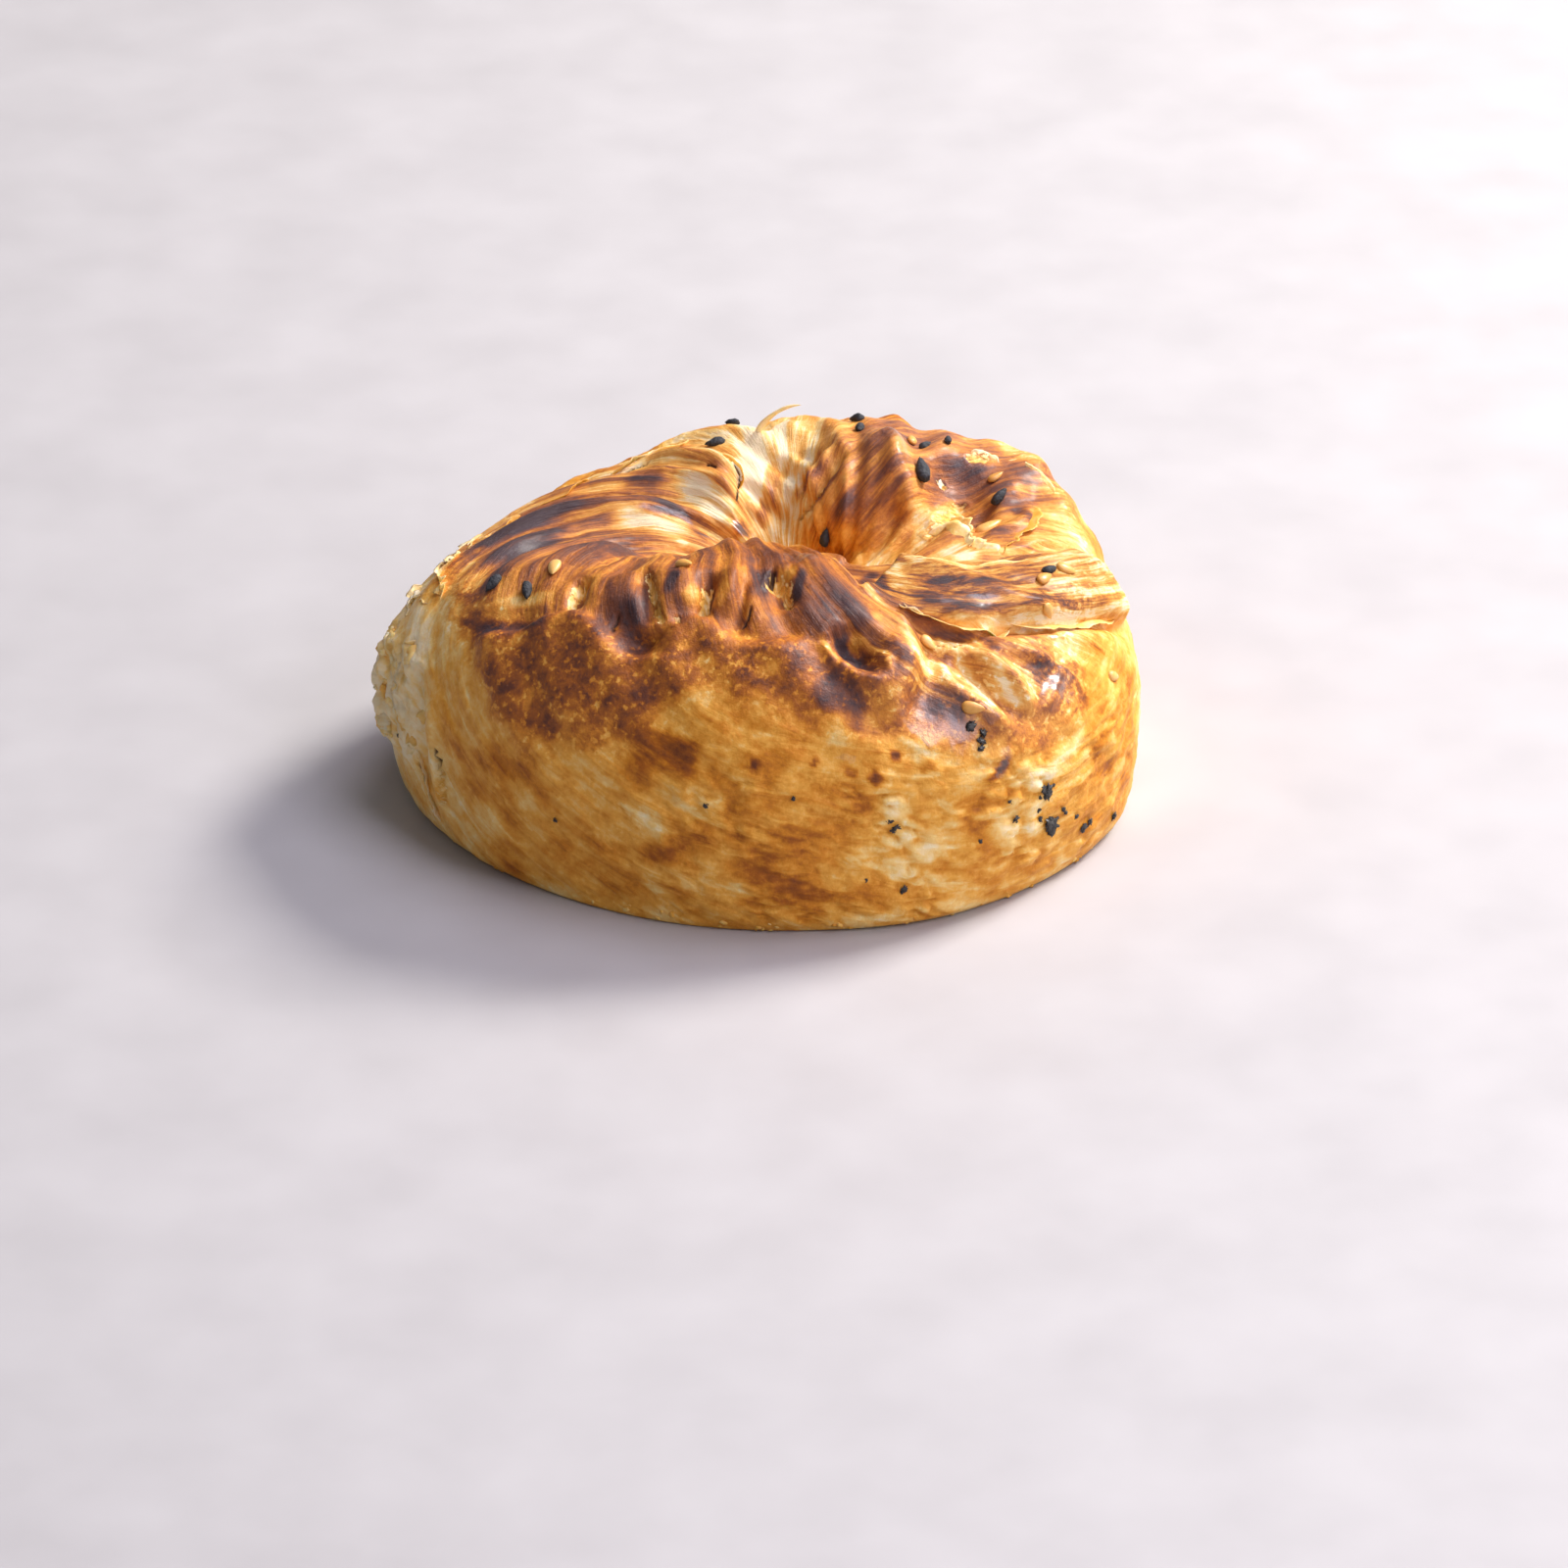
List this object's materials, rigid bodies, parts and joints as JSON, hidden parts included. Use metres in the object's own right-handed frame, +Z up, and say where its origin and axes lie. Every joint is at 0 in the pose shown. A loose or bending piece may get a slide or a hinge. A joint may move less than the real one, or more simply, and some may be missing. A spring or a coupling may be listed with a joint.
{
  "type": "olive bun",
  "caption": "Flaky savoury ring bun of twisted layered dough with a deep central dimple, a glazed browned top and small seeds.",
  "frame": {"origin": "on the resting plane, under the middle of the bun's box", "axes": "+Z up; the front, with the tall front lobe, faces -Y; +X to the right seen from the front"},
  "size_m": [0.106, 0.0928, 0.0454],
  "materials": {
    "crust": "egg-glazed baked crust, satin to glossy dark brown on top, golden and matt on the sides"
  },
  "bodies": {
    "root": {"bun": "crust"}
  },
  "joints": []
}
